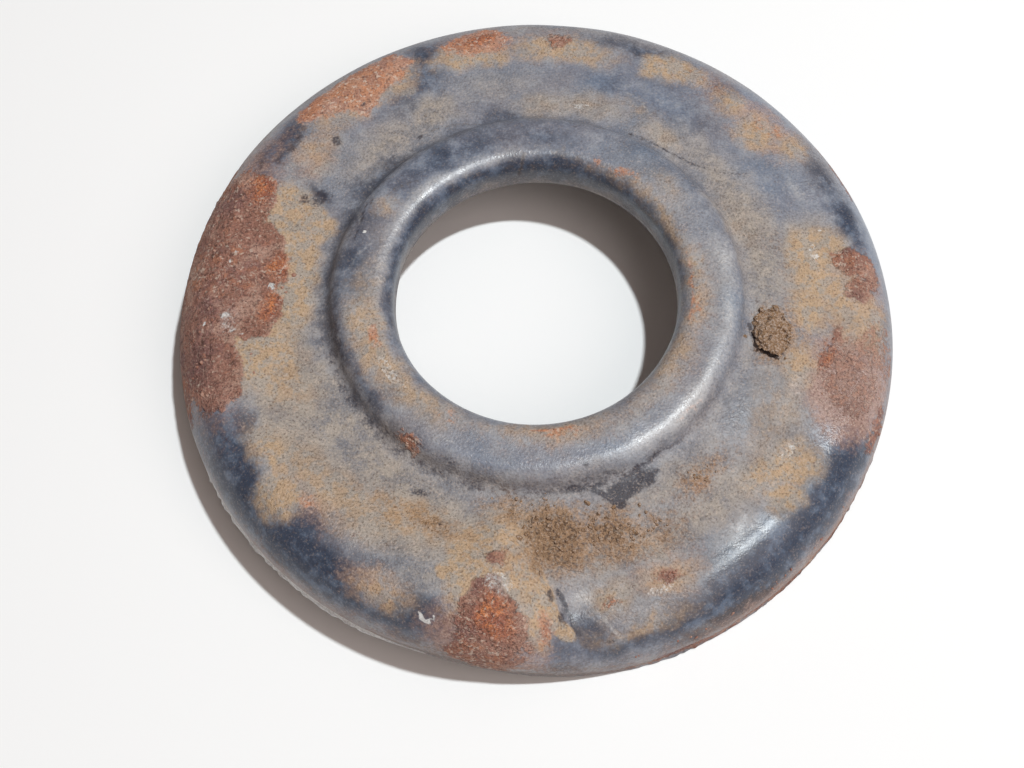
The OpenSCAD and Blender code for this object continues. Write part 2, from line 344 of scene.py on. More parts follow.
# Each stroke: finish, half width in mm, strength, then the angles and runs along it.
STOP_RIDGE = (
    (263, 54), (267.5, 57.2), (269.5, 60), (270.5, 62.2), (271.5, 64.8), (272, 67.2), (273, 70), (274.5, 72),
)
STROKES = (
    ("soot", 1.0, 0.5, ((150, 66.4), (146, 65.6), (142.4, 66))),
    ("soot", 0.6, 0.5, ((152.6, 68.8), (150, 69.4))),
    ("grime", 0.8, 0.7, ((139.6, 61.4), (137.6, 60), (138.4, 58))),
    ("haze", 1.6, 1.0, ((120.4, 61.6), (118.4, 60.6))),
    ("worn", 0.2, 0.6, ((163, 36.6), (168, 38.4), (174, 39.6))),
    ("worn", 0.2, 0.5, ((186, 36), (192, 37.4), (199, 38))),
    ("worn", 0.2, 0.5, ((24, 50), (29, 52), (36, 53))),
    ("worn", 0.2, 0.5, ((60, 52.4), (64, 55), (70, 56.4))),
    ("worn", 0.2, 0.5, ((100, 50), (106, 52), (111, 52.6))),
    ("worn", 0.2, 0.5, ((232, 37), (238, 38.6), (246, 39))),
    ("grime", 0.3, 0.8, ((134, 36.4), (141, 38.6), (149, 39.4))),
    ("grime", 0.3, 0.8, ((105, 44.6), (112, 47), (120, 48))),
    # Painted shade: the dark line in the foot of the hub.
    ("soot", 0.25, 0.5, ((184, 45.9), (200, 46), (220, 46), (240, 45.9), (262, 45.6))),
    ("ochre", 1.5, 1.0, STOP_RIDGE),
    ("ochre", 1.6, 0.9, ((254, 64), (255, 61.5), (255.5, 58.5), (258, 56), (260, 54.5), (263, 54))),
    # Painted shade on the low side of the stop's step.
    ("soot", 0.6, 0.75, ((273.6, 63.4), (274.6, 66), (275.4, 69), (276.4, 72))),
    ("soot", 0.6, 0.9, ((284, 45), (287, 47.5), (289, 50.3))),
    ("soot", 0.7, 0.9, ((297, 44.6), (292.5, 47.5), (289.5, 50.2))),
    # Painted shadow of the soil clump, in the crevice at its lower side.
    ("soot", 0.4, 0.9, ((344, 53), (342.6, 51.2), (343.6, 48.6), (346.6, 46), (350, 45))),
    ("soot", 0.34, 0.7, ((32.5, 55), (34.5, 52), (37.5, 49.4), (42, 47.2), (50, 46), (62, 45.6))),
    ("worn", 0.18, 0.6, ((49, 47.6), (54, 47), (58.6, 48))),
    ("worn", 0.18, 0.5, ((143, 45.6), (146, 42.6), (149, 40))),
    ("worn", 0.16, 0.5, ((151, 45.4), (154, 42.6), (158, 40.6))),
    ("soot", 0.3, 0.7, ((150, 42), (156, 40.8), (163, 40.2))),
    ("chips", 0.36, 1.0, ((252.3, 73.2), (252.8, 74.4), (253.7, 74.5), (254.4, 73.2))),
    ("worn", 0.20, 0.8, ((280.4, 69), (281.4, 71.4), (282.8, 74.4))),
    ("worn", 0.18, 0.7, ((337, 58.6), (339, 57.4), (341, 57.6))),
    ("worn", 0.16, 0.6, ((297, 38.6), (301, 40.6), (303, 43.4))),
    ("worn", 0.16, 0.6, ((309, 37.4), (313, 40), (315, 43.6))),
    ("worn", 0.16, 0.6, ((321, 38.2), (324, 40.4), (325, 43))),
    ("worn", 0.16, 0.5, ((20, 60), (24, 57.4), (30, 56))),
    ("orange", 0.45, 0.55, ((345, 32.7), (352, 32.5), (359, 32.3), (366, 32.2), (373, 32.4))),
    ("orange", 0.3, 0.7, ((268, 32.6), (276, 32.4), (284, 32.5))),
    ("grime", 0.5, 0.8, ((94, 33), (96, 29), (97, 27))),
    # Painted shade on the hub's wall.
    ("soot", 0.25, 0.7, ((232, 42.2), (240, 42.6), (250, 42.5))),
    ("soot", 0.25, 0.6, ((64, 66), (68, 67.2), (76, 67.8))),
)

# Pale patches: partly rubbed paint, mostly painted highlights, on the hub's shoulder, the crest of the rim, the lip's
# bend and as glints beside the stop.
WEAR_AND_HIGHLIGHT = (
    (316, 41.0, 22, 1.6, 0.95), (350, 40.6, 12, 1.6, 0.6), (8, 39.8, 10, 2.4, 0.5),
    (308.5, 64.2, 4.0, 1.8, 0.5), (278, 65.2, 1.6, 2.0, 0.6), (132, 33.2, 34, 1.3, 0.75),
    (264, 64.4, 1.6, 1.8, 0.6), (339, 57.8, 2.2, 0.9, 0.5), (300, 41.2, 14, 1.2, 0.6), (185, 64.4, 2.4, 1.8, 0.5), (24, 63, 5, 2, 0.4),
)

# Black smears, and painted shade in the foot of the hub, on the hub's wall and on the low side of the stop's step.
SOOT_AND_SHADE = (
    (291, 47.6, 5, 2.0, 0.75), (298, 46.6, 4, 2.0, 0.65),
    (286, 45.2, 3.4, 0.7, 0.8), (294.5, 45.8, 4.6, 1.2, 0.9), (289.5, 48.8, 1.8, 1.0, 0.8), (280, 44.6, 5, 0.6, 0.8),
    (283.4, 41.3, 1.1, 0.45, 1), (242.4, 50, 1.6, 0.7, 0.8), (303.5, 58.7, 0.5, 0.4, 1),
    (250, 54.9, 0.5, 0.25, 0.9), (122.7, 48, 0.5, 0.4, 0.9), (138.6, 59, 1.2, 1.8, 0.7), (153, 53.6, 3.0, 1.8, 0.65), (154.8, 56.4, 1.6, 1.4, 0.6),
    (148.4, 40.8, 1.6, 0.5, 0.6), (215, 42.6, 8, 0.8, 0.4), (196, 42.6, 10, 1.2, 0.4),
    (128.5, 62.3, 0.6, 0.5, 0.9), (272.2, 64.6, 0.7, 1.8, 0.7), (274.2, 68.6, 0.7, 1.8, 0.7),
    (281, 74, 1.5, 0.6, 0.6), (184, 37.6, 1.4, 1.0, 0.5), (72, 67.4, 4, 0.3, 0.7),
    (151, 51, 0.5, 0.3, 0.8), (300, 44.2, 16, 0.5, 0.7),
)

SOIL = (
    (276, 57, 6, 2.8, 1), (289, 57.4, 8, 2.2, 0.9), (265, 50, 5, 2.4, 0.8),
    (274, 53, 7, 5.4, 1), (265, 47.6, 5, 2.2, 0.75), (284.5, 53.5, 7, 3.2, 1), (291, 55.6, 6, 2, 0.8),
    (308.5, 52.6, 4.4, 1.7, 0.9), (247, 55.4, 8, 2.0, 0.85), (348, 50.6, 7.5, 5, 0.8), (270, 57, 5, 3, 0.8),
    (298, 52, 5, 2, 0.4), (201, 54.6, 5, 2, 0.4), (13, 52.6, 5, 1.4, 0.4),
)

# Spots where the paint is knocked off, and painted glints beside the stop and in the rust near 186 degrees.
CHIPS_AND_GLINTS = (
    (263.4, 63.8, 3.0, 2.4, 0.38), (186, 64.6, 3.4, 2.2, 0.38), (212, 35.6, 12, 1.3, 0.4),
    (9.5, 60.6, 2.6, 1.3, 0.45), (178, 56.4, 0.9, 0.7, 0.9), (77, 49, 3.4, 1.2, 0.36), (325, 61.4, 3, 1.6, 0.42), (291, 67.4, 3, 1.2, 0.42), (171, 64.8, 0.5, 0.5, 0.8), (184.6, 65.6, 0.6, 0.6, 0.8),
    (160, 38.7, 0.5, 0.4, 1), (14.5, 63.6, 0.5, 0.7, 0.4), (189, 62, 0.4, 0.4, 0.8),
    (278.3, 65, 0.4, 1.6, 0.5), (186, 70, 0.4, 0.4, 0.8), (173, 66, 0.4, 0.3, 0.8),
)

DUSTY = (
    (346, 70, 10, 8, 0.7), (2, 72, 6, 5, 0.4), (186, 64, 6, 3, 0.4), (263, 63, 4, 3, 0.5),
    (268, 74, 3, 6, 0.7), (196, 68, 6, 5, 0.3),
)

# Each stretch of burr: angle, half length in degrees, and share of the full flare.
BURRS = ((226, 24, 0.75), (314, 34, 0.42))

# The softness of each finish's edge in mm, and how far its outline wanders.
FINISH_FIELDS = {
    "rust": (RUST, 1.6, 1.3),
    "orange": (ORANGE, 1.8, 1.3),
    "ochre": (OCHRE, 3.0, 1.6),
    "haze": (HAZE, 5.0, 2.0),
    "navy": (NAVY_AND_SHADE, 2.8, 1.5),
    "grime": (GRIME_AND_SHADE, 1.6, 0.8),
    "blush": (BLUSH, 4.0, 1.8),
    "worn": (WEAR_AND_HIGHLIGHT, 1.6, 1.0),
    "soot": (SOOT_AND_SHADE, 0.6, 0.6),
    "soil": (SOIL, 4.0, 1.8),
    "chips": (CHIPS_AND_GLINTS, 0.3, 0.3),
    "dusty": (DUSTY, 3.0, 1.5),
}


def plan_radius(run):
    """Distance from the axis, in mm, at a run along the upper face in mm."""
    crest = 66.5
    if run <= crest:
        return max(run, 30.0)
    return crest + 11.0 * math.sin(min((run - crest) / 11.0, math.pi / 2))


def along_stroke(points, angle, run):
    """Distance in mm from each place to a stroke, negative on its side of smaller angles."""
    nearest = np.full(len(angle), 1e3)
    side = np.zeros(len(angle))
    for (angle_a, run_a), (angle_b, run_b) in zip(points, points[1:]):
        metric = math.radians(1.0) * plan_radius((run_a + run_b) / 2)
        step_x, step_y = (angle_b - angle_a) * metric, run_b - run_a
        place_x = ((angle - angle_a + 180.0) % 360.0 - 180.0) * metric
        place_y = run - run_a
        share = (place_x * step_x + place_y * step_y) / (step_x ** 2 + step_y ** 2)
        share = np.clip(share, 0.0, 1.0)
        gap_x, gap_y = place_x - share * step_x, place_y - share * step_y
        gap = np.hypot(gap_x, gap_y)
        closer = gap < nearest
        nearest = np.where(closer, gap, nearest)
        side = np.where(closer, np.where(gap_x < 0, -1.0, 1.0), side)
    return nearest * side


def field_of(patches, softness, angle, run):
    """How strongly a finish lies at each point: 1 well inside a patch, 0.5 at its outline."""
    strongest = np.zeros(len(angle))
    for centre, middle, half_length, half_width, strength in patches:
        metric = math.radians(1.0) * plan_radius(middle)
        along = ((angle - centre + 180.0) % 360.0 - 180.0) * metric
        across = run - middle
        long_mm = half_length * metric
        reach = np.hypot(along / long_mm, across / half_width)
        inset = (1.0 - reach) * min(long_mm, half_width) / softness
        strongest = np.maximum(strongest, strength * np.clip(0.5 + inset / 2, 0.0, 1.0))
    return strongest


# The clump of earth on the seat: where its middle lies and its half sizes.
CLUMP_ANGLE = 349.0
CLUMP_RADIUS = 50.0
CLUMP_HALF_SIZE = (0.0046, 0.0062, 0.0019)

# Each drift: angle and radius in mm of its middle, half length in degrees, half width in mm,
# number of crumbs, radius of the largest crumb in mm.
SOIL_CRUMBS = (
    (273, 52, 8, 5, 70, 0.75), (285, 53.5, 8, 4, 45, 0.7), (292, 55.8, 6, 2, 22, 0.6),
    (265, 47.5, 6, 2.4, 18, 0.55), (308.5, 52.6, 5, 2, 14, 0.55), (349, 50, 9, 6, 16, 0.6),
    (245, 56, 7, 3, 14, 0.45),
)
RUST_CRUMBS = (
    (177, 57, 5, 4, 16, 0.7), (188, 65, 8, 6, 26, 0.6), (193, 71, 7, 3, 16, 0.6),
    (166, 68, 8, 4, 18, 0.6), (263, 72, 4, 5, 18, 0.6), (293, 65.6, 3, 1.6, 12, 0.55),
    (346, 63, 6, 2.4, 14, 0.5), (310, 76.6, 26, 0.4, 22, 0.5),
)


# ---------------------------------------------------------------- tools for the mesh


def read_points(mesh):
    places = np.zeros(len(mesh.vertices) * 3, np.float32)
    mesh.vertices.foreach_get("co", places)
    return places.reshape(-1, 3).astype(float)


def read_layer(mesh, name):
    values = np.zeros(len(mesh.vertices), np.float32)
    mesh.attributes[name].data.foreach_get("value", values)
    return values.astype(float)


def write_layer(mesh, name, values):
    layer = mesh.attributes.get(name) or mesh.attributes.new(name, "FLOAT", "POINT")
    layer.data.foreach_set("value", np.asarray(values, np.float32))


def weight_group(piece, name, weights):
    """A vertex group with a weight for each vertex, in 4000 even steps."""
    group = piece.vertex_groups.get(name) or piece.vertex_groups.new(name=name)
    steps = np.rint(np.clip(weights, 0.0, 1.0) * 4000).astype(int)
    order = np.argsort(steps, kind="stable")
    edges = np.flatnonzero(np.diff(steps[order])) + 1
    for members in np.split(order, edges):
        level = steps[members[0]]
        if level:
            group.add(members.tolist(), level / 4000, "REPLACE")
    return group.name


def only(piece):
    """Makes one piece the selected and active object, in object mode."""
    bpy.ops.object.select_all(action="DESELECT")
    piece.select_set(True)
    bpy.context.view_layer.objects.active = piece


def apply_modifier(piece, kind, **settings):
    only(piece)
    modifier = piece.modifiers.new(kind.lower(), kind)
    for name, value in settings.items():
        setattr(modifier, name, value)
    bpy.ops.object.modifier_apply(modifier=modifier.name)


def noise_pattern(name, kind, **settings):
    """A procedural pattern for a Displace modifier."""
    pattern = bpy.data.textures.new(name, kind)
    for setting, value in settings.items():
        setattr(pattern, setting, value)
    return pattern


def wander(places, size, seed):
    """A smooth offset in two directions, from -1 to 1, at each place: the same in each run."""
    first = Vector((seed, 2 * seed, 3 * seed))
    second = first + Vector((31.4, 17.7, 53.1))
    spots = [Vector(p) / size for p in places]
    return np.array([(noise.noise(p + first), noise.noise(p + second)) for p in spots])


# ---------------------------------------------------------------- tools for the finishes


class Signal:
    """A value in a material. Python arithmetic on it adds Math nodes."""

    def __init__(self, finish, socket):
        self.finish = finish
        self.socket = socket

    def math(self, operation, *others):
        values = dict(enumerate((self, *others)))
        return self.finish.node("ShaderNodeMath", {"operation": operation}, values)

    def __add__(self, other):
        return self.math("ADD", other)

    __radd__ = __add__

    def __sub__(self, other):
        return self.math("SUBTRACT", other)

    def __rsub__(self, other):
        return self.finish.node("ShaderNodeMath", {"operation": "SUBTRACT"}, {0: other, 1: self})

    def __mul__(self, other):
        return self.math("MULTIPLY", other)

    __rmul__ = __mul__

    def __truediv__(self, other):
        return self.math("DIVIDE", other)

    def __pow__(self, other):
        return self.math("POWER", other)

    def least(self, other):
        return self.math("MINIMUM", other)

    def most(self, other):
        return self.math("MAXIMUM", other)


class Finish:
    """A material under construction."""

    def __init__(self, name):
        self.material = bpy.data.materials.new(name)
        self.material.use_nodes = True
        self.tree = self.material.node_tree
        self.tree.nodes.clear()
        self.place = self.node("ShaderNodeTexCoord", {}, {}, "Object")

    def node(self, kind, settings, inputs, output=0):
        """Adds a node, its settings before its sockets, and returns one output as a Signal."""
        made = self.tree.nodes.new(kind)
        for name, value in settings.items():
            if name == "stops":
                self.set_stops(made.color_ramp, value)
            else:
                setattr(made, name, value)
        for name, value in inputs.items():
            if isinstance(value, Signal):
                self.tree.links.new(value.socket, made.inputs[name])
            else:
                made.inputs[name].default_value = value
        return Signal(self, made.outputs[output])

    @staticmethod
    def set_stops(ramp, stops):
        while len(ramp.elements) < len(stops):
            ramp.elements.new(1.0)
        for element, (position, colour) in zip(ramp.elements, stops):
            element.position = position
            element.color = colour

    def layer(self, name):
        """A field that the mesh carries."""
        return self.node("ShaderNodeAttribute", {"attribute_name": name}, {}, "Fac")

    def cloud(self, size, detail=3.0, rough=0.55, shift=0.0):
        """Noise from 0 to 1 whose features are about size metres wide."""
        place = self.place
        if shift:
            place = self.node(
                "ShaderNodeVectorMath", {"operation": "ADD"}, {0: place, 1: (shift, shift, shift)}
            )
        sockets = {"Vector": place, "Scale": 1.0 / size, "Detail": detail, "Roughness": rough}
        return self.node("ShaderNodeTexNoise", {}, sockets, "Fac")

    def stretch(self, value, contrast=2.4):
        """Noise with its contrast raised, so that it fills the range from 0 to 1."""
        return self.node(
            "ShaderNodeMapRange",
            {},
            {"Value": value, "From Min": 0.5 - 0.5 / contrast, "From Max": 0.5 + 0.5 / contrast},
        )

    def deposit(self, name, loose, soft):
        """How much of a finish lies here: a field of the mesh, broken up by noise."""
        return self.step(self.layer(name) - loose * 0.7, 0.12 - soft, 0.12 + soft)

    def step(self, value, low, high):
        """A smooth rise from 0 at low to 1 at high."""
        return self.node(
            "ShaderNodeMapRange",
            {"interpolation_type": "SMOOTHSTEP"},
            {"Value": value, "From Min": low, "From Max": high},
        )

    def mix(self, share, first, second):
        """A colour between two others."""
        sockets = {0: share, 6: first, 7: second}
        return self.node("ShaderNodeMix", {"data_type": "RGBA"}, sockets, 2)

    def shade(self, colour, brightness):
        """A colour made darker or lighter by a value near 1."""
        grey = self.node("ShaderNodeCombineColor", {}, dict.fromkeys((0, 1, 2), brightness))
        settings = {"data_type": "RGBA", "blend_type": "MULTIPLY"}
        return self.node("ShaderNodeMix", settings, {0: 1.0, 6: colour, 7: grey}, 2)

    def surface(self, colour, roughness, normal, **constants):
        """The shader that ends the material."""
        sockets = {"Base Color": colour, "Roughness": roughness}
        if normal is not None:
            sockets["Normal"] = normal
        sockets.update(constants)
        shader = self.node("ShaderNodeBsdfPrincipled", {}, sockets, "BSDF")
        self.node_output(shader)
        return self.material

    def node_output(self, shader):
        end = self.tree.nodes.new("ShaderNodeOutputMaterial")
        self.tree.links.new(shader.socket, end.inputs["Surface"])

    def bump(self, height, distance, strength=1.0):
        sockets = {"Height": height, "Distance": distance, "Strength": strength}
        return self.node("ShaderNodeBump", {}, sockets, "Normal")


def paint_and_rust(colours):
    """Blue-grey paint under a dust film, with stains, rust scale, soil and knocked-off spots over it, painted shade in
    the creases and on the walls that face away from the lamp, and painted highlights on the bends.
    """
    f = Finish("aged_paint_and_rust")
    tone = {name: linear(getattr(colours, name)) for name in SpringMountColours.__annotations__}

    broad = f.stretch(f.cloud(0.018, 2.0))
    patchy = f.stretch(f.cloud(0.006, 4.0, 0.6, 0.31))
    blotch = f.stretch(f.cloud(0.0024, 4.0, 0.65))
    clots = f.stretch(f.cloud(0.010, 3.0, 0.55, 0.63))
    grain = f.stretch(f.cloud(0.0009, 3.0, 0.7, 0.17))
    flecks = f.stretch(f.cloud(0.0010, 2.0, 0.5, 0.73))
    speck = f.stretch(f.cloud(0.0006, 2.0, 0.65, 0.91))
    grit = f.stretch(f.cloud(0.00045, 2.0, 0.6, 0.47))
    mottle = patchy * 0.4 + blotch * 0.35 + grain * 0.25
    stipple = patchy * 0.2 + blotch * 0.35 + grain * 0.45

    paint = f.mix(broad, tone["paint"], tone["paint_plum"])
    paint = f.mix(f.step(mottle, 0.45, 0.8) * 0.75, paint, tone["paint_pale"])
    # Dark glossy paint, and painted shade on the hub's wall and the rim's near side, and a painted dark reflection in
    # the lip's bend.
    navy = f.deposit("navy", mottle * 0.7, 0.38)
    deep = f.mix(f.step(patchy * 0.45 + blotch * 0.55, 0.42, 0.78) * 0.5, tone["navy"], tone["paint"])
    colour = f.mix(navy * 0.94, paint, deep)
    # Dirt, and painted shade in the hub's foot, the lip's bend and the lower skirt.
    grime = f.deposit("grime", stipple * 1.3, 0.3)
    colour = f.mix(grime * 0.75, colour, tone["grime"])

    dust_tone = f.mix(f.step(mottle, 0.3, 0.65), tone["haze_grey"], tone["haze"])
    haze = f.deposit("haze", stipple * 0.45 + 0.12, 0.38) * (1.0 - navy * 0.65)
    colour = f.mix(haze * 0.88, colour, dust_tone)
    blush = f.deposit("blush", stipple, 0.40)
    blush_tone = f.mix(f.step(grain, 0.55, 0.8) * 0.6, tone["rust_pink"], tone["rust"])
    colour = f.mix(blush * 0.75, colour, blush_tone)
    ochre = f.deposit("ochre", stipple * 0.3 + 0.1, 0.28)
    ochre_tone = f.mix(f.step(blotch, 0.35, 0.7), tone["ochre"], tone["haze"])
    ochre_tone = f.mix(f.step(grain, 0.65, 0.9) * 0.2, ochre_tone, tone["orange"])
    colour = f.mix(ochre * 0.92, colour, ochre_tone)
    orange_field = f.layer("orange")
    orange = f.step(orange_field - stipple * 0.7, -0.1, 0.25)
    fresh = f.mix(f.step(patchy, 0.3, 0.7) * 0.6, tone["orange"], tone["rust_pink"])
    fresh = f.mix(f.step(blotch, 0.45, 0.7) * 0.6, fresh, tone["rust"])
    fresh = f.mix(f.step(grain, 0.6, 0.85) * 0.7, fresh, tone["rust_dark"])
    fresh = f.mix(f.step(flecks, 0.68, 0.9) * 0.7, fresh, tone["grit"])
    colour = f.mix(orange * 0.85, colour, fresh)

    rust = f.step(f.layer("rust") - stipple * 0.7 - 0.08, -0.08, 0.16)
    scale = f.mix(f.step(patchy, 0.45, 0.8) * 0.8, tone["rust"], tone["rust_pink"])
    scale = f.mix(f.step(clots * 0.7 + blotch * 0.3, 0.5, 0.7) * 0.8, scale, tone["rust_plum"])
    scale = f.mix(f.step(broad * 0.4 + blotch * 0.6, 0.5, 0.78) * 0.6, scale, tone["orange"])
    scale = f.mix(f.step(f.layer("navy"), 0.2, 0.9) * 0.6, scale, tone["rust_plum"])
    heat = f.step(orange_field, 0.25, 0.8)
    scale = f.mix(heat * 0.85, scale, f.mix(blotch, tone["rust_red"], tone["orange"]))
    # Painted highlight: bright glints on the hottest rust.
    scale = f.mix(heat * f.step(blotch * 0.5 + speck * 0.5, 0.45, 0.75) * 0.7, scale, tone["ember"])
    scale = f.mix(f.step(grain, 0.60, 0.82) * 0.8, scale, tone["rust_dark"])
    scale = f.mix(f.step(flecks * 0.8 + broad * 0.3, 0.72, 0.95) * 0.7, scale, tone["grit"])
    dusty = f.deposit("dusty", stipple, 0.4)
    scale = f.mix(dusty * 0.5, scale, tone["rust_pink"])
    colour = f.mix(rust * 0.95, colour, scale)

    soil = f.deposit("soil", stipple, 0.30)
    earth = f.mix(f.step(grain, 0.5, 0.8) * 0.85, tone["soil"], tone["soil_dark"])
    earth = f.mix(f.step(flecks, 0.65, 0.9) * 0.4, earth, tone["haze"])
    colour = f.mix(soil * 0.92, colour, earth)

    # Black smears and cracks, and painted shade at the hub's foot, beside the stop and beside the clump.
    soot = f.deposit("soot", stipple, 0.2)
    colour = f.mix(soot * 0.85, colour, tone["soot"])
    # Pale steel tone over rubbed paint, and painted highlights on the shoulder, the crest and the lip.
    worn = f.deposit("worn", stipple, 0.4)
    colour = f.mix(worn * 0.55, colour, tone["bare"])
    # Knocked-off paint, and painted glints beside the stop.
    chips = f.deposit("chips", stipple, 0.12)
    colour = f.mix(chips, colour, tone["bare"])
    edge = f.deposit("edge", mottle, 0.2)
    colour = f.mix(edge * 0.95, colour, tone["bare"])

    loose = (haze * 0.8 + ochre + orange + soil + blush).least(1.0)
    colour = f.shade(colour, 0.80 + speck * 0.36 + patchy * 0.20)
    colour = f.mix(f.step(grit, 0.64, 0.9) * (0.25 + loose * 0.3), colour, tone["soil_dark"])
    colour = f.mix(f.step(grit, 0.36, 0.1) * (0.15 + loose * 0.25), colour, tone["grit"])

    dull = haze.most(ochre).most(orange).most(rust).most(soil).most(grime)
    roughness = 0.24 + blotch * 0.13 + dull * (1.0 - worn) * 0.5
    height = grain * (0.10 + haze * 0.3 + rust * 1.1 + soil * 1.3)
    height = height + blotch * (0.14 + (rust + soil) * 1.0) + grit * (0.06 + loose * 0.3)
    smooth = 1.0 - navy * (1.0 - dull) * 0.5
    normal = f.bump(height * smooth, 0.00035)
    return f.surface(colour, roughness, normal, **{"IOR": 1.5})


def dried_soil(colours):
    """Brown earth with pale grit and dark gaps."""
    f = Finish("dried_soil")
    blotch = f.stretch(f.cloud(0.0018, 4.0, 0.6))
    grain = f.stretch(f.cloud(0.0005, 3.0, 0.65, 0.2))
    colour = f.mix(f.step(blotch, 0.0, 0.35), linear(colours.soil_dark), linear(colours.soil))
    colour = f.mix(f.step(grain, 0.35, 0.85) * 0.85, colour, linear(colours.grit))
    height = grain + blotch * 1.5
    return f.surface(colour, 0.9, f.bump(height, 0.0004), **{"IOR": 1.4})


def rust_crumb(colours):
    """Pink-brown crumbs of rust with dust on them."""
    f = Finish("rust_crumb")
    blotch = f.stretch(f.cloud(0.0016, 3.0, 0.6))
    colour = f.mix(f.step(blotch, 0.2, 0.8), linear(colours.rust), linear(colours.rust_pink))
    return f.surface(colour, 0.8, None, **{"IOR": 1.45})


def floor_finish(colours):
    f = Finish("pale_floor")
    return f.surface(linear(colours.floor), 0.9, None, **{"IOR": 1.2})


# ---------------------------------------------------------------- operators


